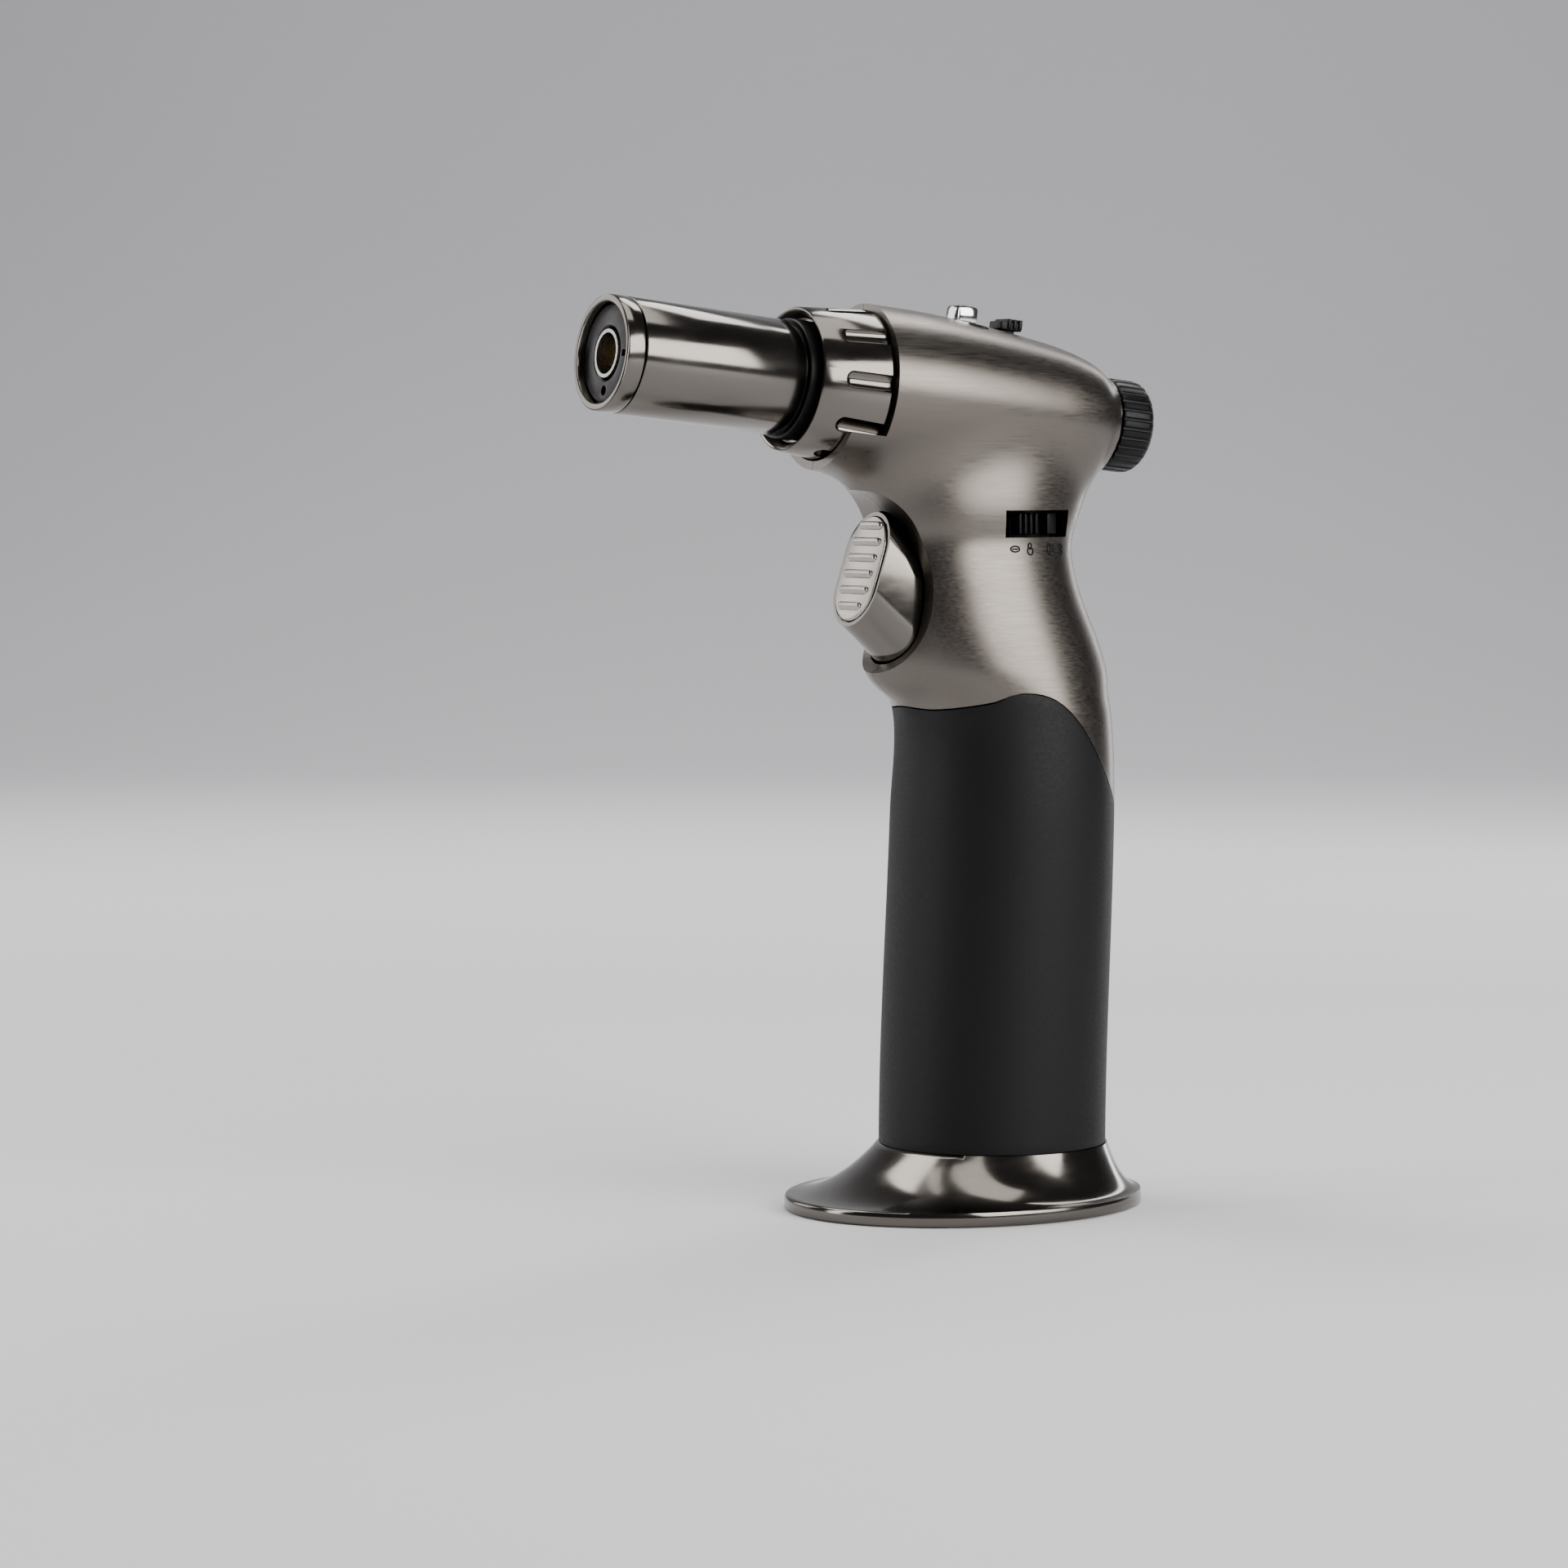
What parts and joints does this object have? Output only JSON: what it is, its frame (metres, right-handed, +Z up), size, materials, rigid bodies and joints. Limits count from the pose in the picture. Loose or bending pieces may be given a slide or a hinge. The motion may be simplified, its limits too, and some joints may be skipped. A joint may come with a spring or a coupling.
{
  "type": "butane torch",
  "caption": "Hand-held butane torch with a tilted barrel, fluted air ring, slanted trigger, side lock, rear flow knob, black grip sleeve and oval foot.",
  "frame": {"origin": "centre of the oval foot, on its underside, where the torch stands", "axes": "+Z up, -X the way the barrel points, +Y the right side of a user who points the torch ahead"},
  "size_m": [0.1102, 0.0552, 0.1615],
  "materials": {
    "polished_gunmetal": "polished dark nickel plating",
    "satin_gunmetal": "brushed dark nickel plating",
    "soft_black": "soft-touch matt coating",
    "black_plastic": "moulded, light sheen",
    "bright_chrome": "bright chrome plating",
    "brass": "turned brass",
    "steel": "plain steel",
    "burner_metal": "heat-darkened",
    "ceramic": "unglazed alumina, as white matt plastic",
    "smoked_resin": "smoked nylon resin",
    "rubber": "nitrile rubber",
    "red_plastic": "red insulation"
  },
  "bodies": {
    "torch_body": {"tip_ring": "polished_gunmetal", "barrel_tube": "polished_gunmetal", "burner_disc": "burner_metal", "burner_tube": "steel", "flame_grid": "brass", "barrel_bush": "black_plastic", "electrode": "steel", "electrode_insulator": "ceramic", "gas_jet": "brass", "flow_valve_body": "brass", "button_rest": "black_plastic", "foot_stand": "polished_gunmetal", "foot_plate": "black_plastic", "foot_screw_1": "steel", "foot_screw_2": "steel", "grip_sleeve": "soft_black", "fuel_tank": "smoked_resin", "tank_lid": "smoked_resin", "tank_gasket": "rubber", "fill_valve_body": "brass", "fill_valve_spring": "steel", "fill_valve_seal": "rubber", "outlet_valve_body": "brass", "outlet_valve_spring": "steel", "outlet_valve_gasket": "rubber", "trigger_guide": "black_plastic", "piezo_case": "black_plastic", "ignition_wire": "red_plastic", "lever_pin": "steel", "gas_hose": "rubber", "button_spring": "steel", "side_lock_rail": "black_plastic", "shell_left": "satin_gunmetal", "shell_right": "satin_gunmetal", "shell_screw_1": "steel", "shell_screw_2": "steel", "shell_screw_3": "steel"},
    "trigger_unit": {"trigger": "polished_gunmetal", "trigger_pad": "satin_gunmetal", "piezo_plunger": "red_plastic"},
    "lever": {"gas_lever": "steel"},
    "outlet_stem": {"outlet_valve_stem": "brass"},
    "fill_stem": {"fill_valve_stem": "brass"},
    "air_collar": {"air_ring": "polished_gunmetal"},
    "flow_control": {"flow_knob": "black_plastic", "flow_stem": "brass"},
    "ignition_push": {"ignition_button": "bright_chrome"},
    "flame_lock_slider": {"flame_lock": "black_plastic"},
    "side_lock_slider": {"side_lock": "black_plastic"}
  },
  "joints": [
    {"name": "trigger_pull", "type": "slide", "parent": "torch_body", "child": "trigger_unit", "axis": [0.7431, 0, -0.6691], "range_m": [0, 0.007], "stiffness_N_per_m": 1000, "springref_m": -0.005},
    {"name": "lever_swing", "type": "hinge", "parent": "torch_body", "child": "lever", "pos_m": [0.0045, 0, 0.106], "axis": [0, -1, 0], "range_deg": [0, 8.1]},
    {"name": "outlet_stem_lift", "type": "slide", "parent": "torch_body", "child": "outlet_stem", "axis": [0, 0, 1], "range_m": [0, 0.00101], "deforming": ["outlet_valve_spring"]},
    {"name": "fill_stem_press", "type": "slide", "parent": "torch_body", "child": "fill_stem", "axis": [0, 0, 1], "range_m": [0, 0.0015], "stiffness_N_per_m": 900, "springref_m": -0.001, "deforming": ["fill_valve_spring"]},
    {"name": "air_ring_turn", "type": "hinge", "parent": "torch_body", "child": "air_collar", "pos_m": [-0.0728, 0, 0.1515], "axis": [0.9935, 0, -0.1141], "range_deg": [-45, 45]},
    {"name": "flow_knob_turn", "type": "hinge", "parent": "torch_body", "child": "flow_control", "pos_m": [-0.0728, 0, 0.1515], "axis": [0.9935, 0, -0.1141], "range_deg": [-135, 135]},
    {"name": "ignition_press", "type": "slide", "parent": "torch_body", "child": "ignition_push", "axis": [0, 0, -1], "range_m": [0, 0.0012], "stiffness_N_per_m": 900, "springref_m": -0.001, "deforming": ["button_spring"]},
    {"name": "flame_lock_slide", "type": "slide", "parent": "torch_body", "child": "flame_lock_slider", "axis": [0.9935, 0, -0.1141], "range_m": [0, 0.0038]},
    {"name": "side_lock_slide", "type": "slide", "parent": "torch_body", "child": "side_lock_slider", "axis": [0.9646, 0.2637, 0], "range_m": [-0.003, 0]}
  ],
  "couplings": [
    {"joint": "lever_swing", "follows": "trigger_pull", "rad_per_m": 19.947},
    {"joint": "outlet_stem_lift", "follows": "trigger_pull", "ratio": 0.14286}
  ]
}
